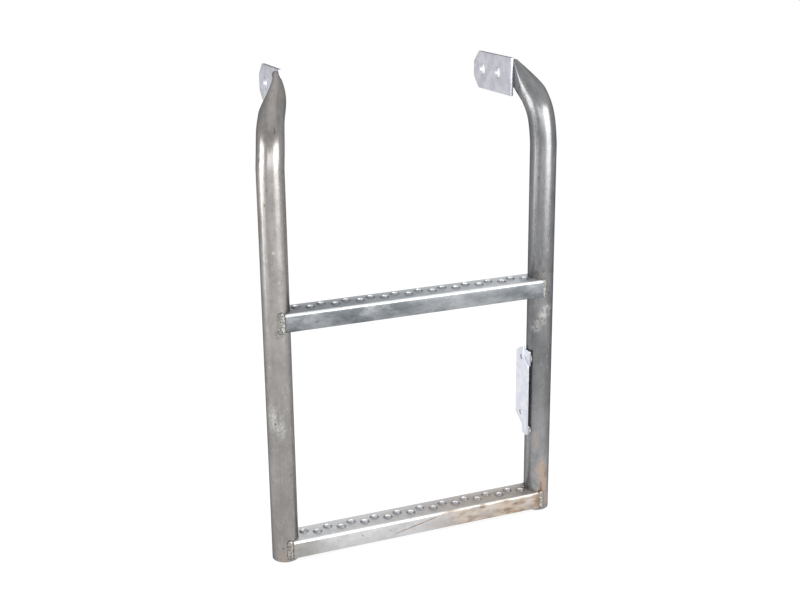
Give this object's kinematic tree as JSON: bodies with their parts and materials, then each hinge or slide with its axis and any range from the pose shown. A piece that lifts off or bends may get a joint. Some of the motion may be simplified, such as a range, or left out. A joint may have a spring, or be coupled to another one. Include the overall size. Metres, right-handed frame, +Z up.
{
  "type": "truck cab step",
  "caption": "Welded steel hanging step: two round tube stiles with flattened, drilled top tabs and two channel treads with raised holes.",
  "frame": {"origin": "middle of the bolt line on the inner flat face of the right tab", "axes": "+X across the step towards the right stile, +Y back towards the truck, +Z up"},
  "size_m": [0.3937, 0.1528, 0.6096],
  "materials": {
    "galvanised_tube": "satin zinc, streaked",
    "galvanised_sheet": "satin zinc, with rust stains",
    "bracket_plate": "bright zinc",
    "weld_metal": "rough, heat-marked"
  },
  "bodies": {
    "root": {"left_stile": "galvanised_tube", "right_stile": "galvanised_tube", "upper_tread": "galvanised_sheet", "lower_tread": "galvanised_sheet", "side_bracket": "bracket_plate", "upper_left_front_weld": "weld_metal", "upper_left_rear_weld": "weld_metal", "upper_right_front_weld": "weld_metal", "upper_right_rear_weld": "weld_metal", "lower_left_front_weld": "weld_metal", "lower_left_rear_weld": "weld_metal", "lower_right_front_weld": "weld_metal", "lower_right_rear_weld": "weld_metal", "lower_right_top_weld": "weld_metal", "bracket_upper_weld": "weld_metal", "bracket_lower_weld": "weld_metal"}
  },
  "joints": []
}
